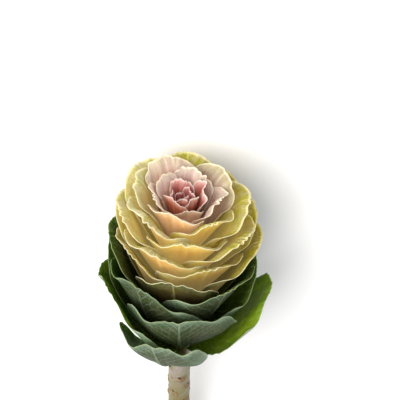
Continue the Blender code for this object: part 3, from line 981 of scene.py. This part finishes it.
# Painted light and shade: the inner faces, which face the lamp, are painted darker, and the outer faces,
# which lie in shade between the leaves, are painted paler than the leaves' own colours
BLUSH_COLOURS = {
    "inner_first": (
        (0.0, (200, 188, 164)), (0.12, (194, 174, 166)), (0.28, (196, 166, 156)), (0.5, (178, 114, 100)),
    ),
    "inner_last": ((0.0, (184, 176, 130)), (0.25, (178, 164, 144)), (0.6, (186, 158, 140))),
    "outer_first": ((0.0, (236, 214, 190)), (0.16, (222, 188, 158)), (0.45, (198, 130, 78))),
    "outer_last": ((0.0, (248, 232, 204)), (0.15, (244, 222, 182)), (0.5, (236, 190, 118))),
    "vein_colours": (srgb(234, 218, 198), srgb(240, 220, 184)),
    "vein_strengths": ((0.35, 0.12), (0.4, 0.2)), "rim_strengths": (0.5, 0.75),
    "veins": {"Spacing": 0.055, "Rise": 1.9, "Net Size": 0.035},
    "tint": {
        "Rim Color": srgb(242, 228, 204), "Rim Width": 1.6, "Streaks": 0.65, "Clouds": 0.25,
        "Patch Color": (0.92, 0.82, 0.86, 1.0), "Patch Strength": 0.9,
    },
    "roughness": 0.5, "outer_dulling": 0.04, "relief": 0.3, "pucker": 0.6, "translucency": 0.5,
    "painted_glow_colour": srgb(250, 204, 164), "last_painted_glow": 1.0, "painted_glow_strength": 0.13, "glow": (1.0, 0.8, 0.6),
}
# As with the blush leaves, the inner faces are painted darker and the outer faces paler: painted shade and
# painted light against how the lamp falls on them
CREAM_COLOURS = {
    "inner_first": ((0.0, (172, 164, 120)), (0.25, (160, 152, 102)), (0.9, (160, 140, 92))),
    "inner_last": ((0.0, (146, 136, 66)), (0.25, (122, 112, 42)), (0.9, (100, 90, 26))),
    "outer_first": (
        (0.0, (250, 240, 212)), (0.2, (248, 234, 188)), (0.45, (242, 208, 124)), (0.8, (226, 162, 60)),
    ),
    "outer_last": (
        (0.0, (140, 152, 112)), (0.08, (74, 92, 50)), (0.25, (56, 70, 26)),
        (0.45, (64, 60, 18)), (0.7, (66, 50, 12)),
    ),
    "vein_colours": (srgb(232, 226, 184), srgb(240, 226, 172)),
    "vein_strengths": ((0.42, 0.18), (0.42, 0.24)), "rim_strengths": (0.45, 0.7),
    "veins": {"Spacing": 0.06, "Rise": 1.9, "Net Size": 0.04},
    "tint": {
        "Rim Color": srgb(242, 232, 196), "Rim Width": 2.0, "Streaks": 0.3, "Clouds": 0.3,
        "Patch Color": (0.84, 0.88, 0.45, 1.0), "Patch Strength": 1.0, "Tone Saturation": 0.2,
    },
    "roughness": 0.5, "outer_dulling": 0.05, "relief": 0.35, "pucker": 0.6, "translucency": 0.5,
    "painted_glow_colour": srgb(250, 222, 140), "last_painted_glow": 0.0, "painted_glow_strength": 0.22, "glow": (1.0, 0.85, 0.45),
}
# The last green leaves' inner faces are painted lighter deeper in, towards their feet: painted light
# against the shade there
GREEN_COLOURS = {
    "inner_first": ((0.0, (76, 98, 32)), (0.1, (42, 66, 14)), (0.9, (28, 48, 8))),
    "inner_last": (
        (0.0, (128, 154, 30)), (0.1, (120, 146, 10)), (0.35, (130, 156, 8)), (0.9, (144, 168, 10)),
    ),
    "outer_first": (
        (0.0, (142, 158, 134)), (0.1, (98, 118, 90)), (0.3, (56, 76, 44)), (0.5, (52, 58, 18)),
    ),
    "outer_last": (
        (0.0, (142, 156, 132)), (0.1, (100, 118, 92)), (0.32, (60, 80, 48)),
        (0.55, (52, 64, 20)), (0.9, (48, 54, 12)),
    ),
    "vein_colours": (srgb(160, 176, 100), srgb(160, 174, 150)),
    "vein_strengths": ((0.6, 0.22), (0.7, 0.4)), "rim_strengths": (0.6, 0.6),
    "veins": {"Spacing": 0.13, "Rise": 1.2, "Net Size": 0.06},
    "tint": {
        "Rim Color": srgb(158, 172, 124), "Rim Width": 0.9, "Streaks": 0.15, "Clouds": 0.6,
        "Patch Color": (0.5, 0.68, 0.52, 1.0), "Patch Strength": 0.7,
    },
    "roughness": 0.45, "outer_dulling": 0.18, "relief": 0.6, "pucker": 1.0, "translucency": 0.1,
    "painted_glow_colour": srgb(60, 80, 20), "last_painted_glow": 0.0, "painted_glow_strength": 0.0, "glow": (0.5, 1.0, 0.2),
}

# The first colour, a dark olive inside the head, is partly painted shade
STEM_COLOURS = (  # from just above the lowest leaf's foot down to the cut
    (0.0, (92, 82, 40)), (0.05, (140, 126, 114)), (0.1, (150, 138, 134)),
    (0.26, (122, 114, 80)), (1.0, (110, 106, 62)),
)
STEM_CLOUDS = (  # noise, values where clouds start and are full, their strength, their colour
    ({"scale": 60.0, "roughness": 0.6}, (0.48, 0.7), 0.7, srgb(112, 122, 66)),
    ({"scale": 45.0, "roughness": 0.6, "distortion": 0.5}, (0.52, 0.7), 0.8, srgb(150, 132, 142)),
    ({"scale": 260.0, "roughness": 0.7}, (0.5, 0.7), 0.35, srgb(112, 100, 60)),
)
CUT_COLOURS = (  # from the middle of the cut to its bark
    (0.0, (226, 224, 190)), (0.55, (216, 214, 168)), (0.66, (188, 186, 120)),
    (0.86, (214, 208, 160)), (0.98, (150, 150, 90)),
)
GRAIN_SCALE = (1.0, 0.15, 1.0)  # along the stem, which lies along y
STEM_RELIEF = 0.5 * MM
STEM_SCATTER = 1.5 * MM


def stem_skin():
    """The stem's skin: dark olive inside the head, partly painted shade there, lilac-white under the head
    and greenish cream lower down, with clouds of green, lilac and olive, tan patches near the scars, pale
    scar faces, brown dry edges, dark buds, and the cut's rings and pith."""
    made, tree, shader = new_material("stem_skin_dressed")
    place = node(tree, "ShaderNodeTexCoord").outputs["Object"]
    skin = ramp(tree, measure(tree, "from_head"), STEM_COLOURS)
    for clouds, limits, strength, colour in STEM_CLOUDS:
        cloud = fade(tree, noise(tree, place, **clouds), *limits)
        skin = blend(tree, times(tree, cloud, strength), skin, colour)
    patchy = noise(tree, place, scale=110.0, detail=4.0, roughness=0.7, distortion=0.6)
    tan = times(tree, measure(tree, "near_scar"), fade(tree, patchy, 0.4, 0.56))
    skin = blend(tree, times(tree, tan, 0.9), skin, srgb(108, 76, 34))
    scar = measure(tree, "scar")
    chipped = fade(tree, noise(tree, place, scale=330.0, roughness=0.6), 0.4, 0.6, 0.1, 0.7)
    skin = blend(tree, times(tree, scar, chipped), skin, srgb(156, 140, 104))
    cracked = noise(tree, place, scale=420.0, roughness=0.7)
    dry = times(tree, measure(tree, "dry_edge"), fade(tree, cracked, 0.35, 0.6))
    skin = blend(tree, dry, skin, srgb(92, 58, 30))
    skin = blend(tree, fade(tree, measure(tree, "bud"), 0.2, 0.5), skin, srgb(40, 28, 16))
    off_pith = scaled(tree, noise(tree, place, scale=500.0), 0.06, measure(tree, "core_distance"))
    skin = blend(tree, measure(tree, "cut"), skin, ramp(tree, off_pith, CUT_COLOURS))
    plain_rough = scaled(tree, cracked, 0.2, 0.45)
    stretched = node(tree, "ShaderNodeMapping", {"Vector": place, "Scale": GRAIN_SCALE}).outputs[0]
    grain = noise(tree, stretched, scale=700.0, detail=2.0)
    grain = scaled(tree, grain, 0.5, times(tree, cracked, 0.6))
    feed(tree, shader, {
        "Base Color": skin,
        "Roughness": scaled(tree, scar, 0.15, plain_rough),
        "Specular IOR Level": 0.35,
        "Normal": bumped(tree, grain, 0.5, STEM_RELIEF),
        "Subsurface Weight": 0.1,
        "Subsurface Radius": (1.0, 0.8, 0.5),
        "Subsurface Scale": STEM_SCATTER,
    })
    return made


# Studio

KEY_FROM = (-0.48, -0.76, 0.54)  # in the plant's frame
KEY_DISTANCE = 1.5
KEY_SIZE = 1.3
KEY_POWER = 33
KEY_COLOUR = (1.0, 0.98, 0.95)
SURROUND = 0.85
FLOOR_HALF = 4.0
FLOOR_COLOUR = (238, 238, 238)


def make_camera():
    """The photograph's camera: it looks down on the head, and the bud falls on its pixel."""
    back = Vector(turned(0, -math.cos(VIEW_DOWN), math.sin(VIEW_DOWN)))
    level = Vector(turned(1, 0, 0))
    upright = back.cross(level)
    right = level * math.cos(VIEW_ROLL) + upright * math.sin(VIEW_ROLL)
    up = upright * math.cos(VIEW_ROLL) - level * math.sin(VIEW_ROLL)
    bud = Vector(lay_down(np.zeros(3)))
    middle = PHOTO / 2
    sideways = right * ((middle - BUD_PIXEL[0]) / PIXELS_A_METRE)
    upwards = up * ((middle - BUD_PIXEL[1]) / PIXELS_A_METRE)
    target = bud + sideways - upwards
    data = bpy.data.cameras.new("photo_camera")
    data.sensor_width = FILM_WIDTH
    data.lens = FILM_WIDTH * FOCAL_PIXELS / PHOTO
    camera = put_in_scene("photo_camera", data)
    place = Matrix((right, up, back)).transposed().to_4x4()
    place.translation = target + back * (FOCAL_PIXELS / PIXELS_A_METRE)
    camera.matrix_world = place
    bpy.context.scene.camera = camera


def make_floor():
    """A wide pale floor just under the plant."""
    mesh = bpy.data.meshes.new("floor")
    corners = [(FLOOR_HALF * x, FLOOR_HALF * y, 0) for x, y in ((-1, -1), (1, -1), (1, 1), (-1, 1))]
    mesh.from_pydata(corners, [], [(0, 1, 2, 3)])
    paint, tree, shader = new_material("floor_paint")
    look = {"Base Color": srgb(*FLOOR_COLOUR), "Roughness": 0.9, "Specular IOR Level": 0.1}
    feed(tree, shader, look)
    mesh.materials.append(paint)
    floor = put_in_scene("floor", mesh)


def make_key(target):
    """A large square lamp before and above the head, on its left, that looks at a target."""
    place = target + Vector(turned(*KEY_FROM)).normalized() * KEY_DISTANCE
    data = bpy.data.lights.new("key", "AREA")
    data.size = KEY_SIZE
    data.energy = KEY_POWER
    data.color = KEY_COLOUR
    lamp = put_in_scene("key", data)
    lamp.location = place
    lamp.rotation_mode = "QUATERNION"
    lamp.rotation_quaternion = (target - place).to_track_quat("-Z", "Y")


def make_light():
    """A white surround and the key lamp."""
    scene = bpy.context.scene
    scene.world = bpy.data.worlds.new("studio")
    scene.world.use_nodes = True
    tree = scene.world.node_tree
    feed(tree, tree.nodes["Background"], {"Color": WHITE, "Strength": SURROUND})
    make_key(Vector(lay_down(np.array([0.0, 0.0, HEAD_FOOT / 3]))))
    scene.view_settings.view_transform = "Standard"
    scene.view_settings.look = "None"


def main():
    """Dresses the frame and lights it."""
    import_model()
    make_camera()
    groups = (veins_group(), skin_tint_group())
    stem_piece(stem_skin())
    heart_piece(leaf_skin("heart_skin", groups, HEART_COLOURS))
    first = HEART_LEAVES
    for kind, count, fineness, palette in (
        ("blush_leaf", BLUSH_LEAVES, BLUSH_GRID, BLUSH_COLOURS),
        ("cream_leaf", CREAM_LEAVES, CREAM_GRID, CREAM_COLOURS),
        ("green_leaf", GREEN_LEAVES, GREEN_GRID, GREEN_COLOURS),
    ):
        skin = leaf_skin(f"{kind}_skin", groups, palette)
        for place in range(count):
            share = (place / (count - 1)) ** GROUP_BEND
            leaf_piece(first + place, f"{kind}_{place + 1:02d}", fineness, share, skin)
        first += count
    make_floor()
    make_light()


main()
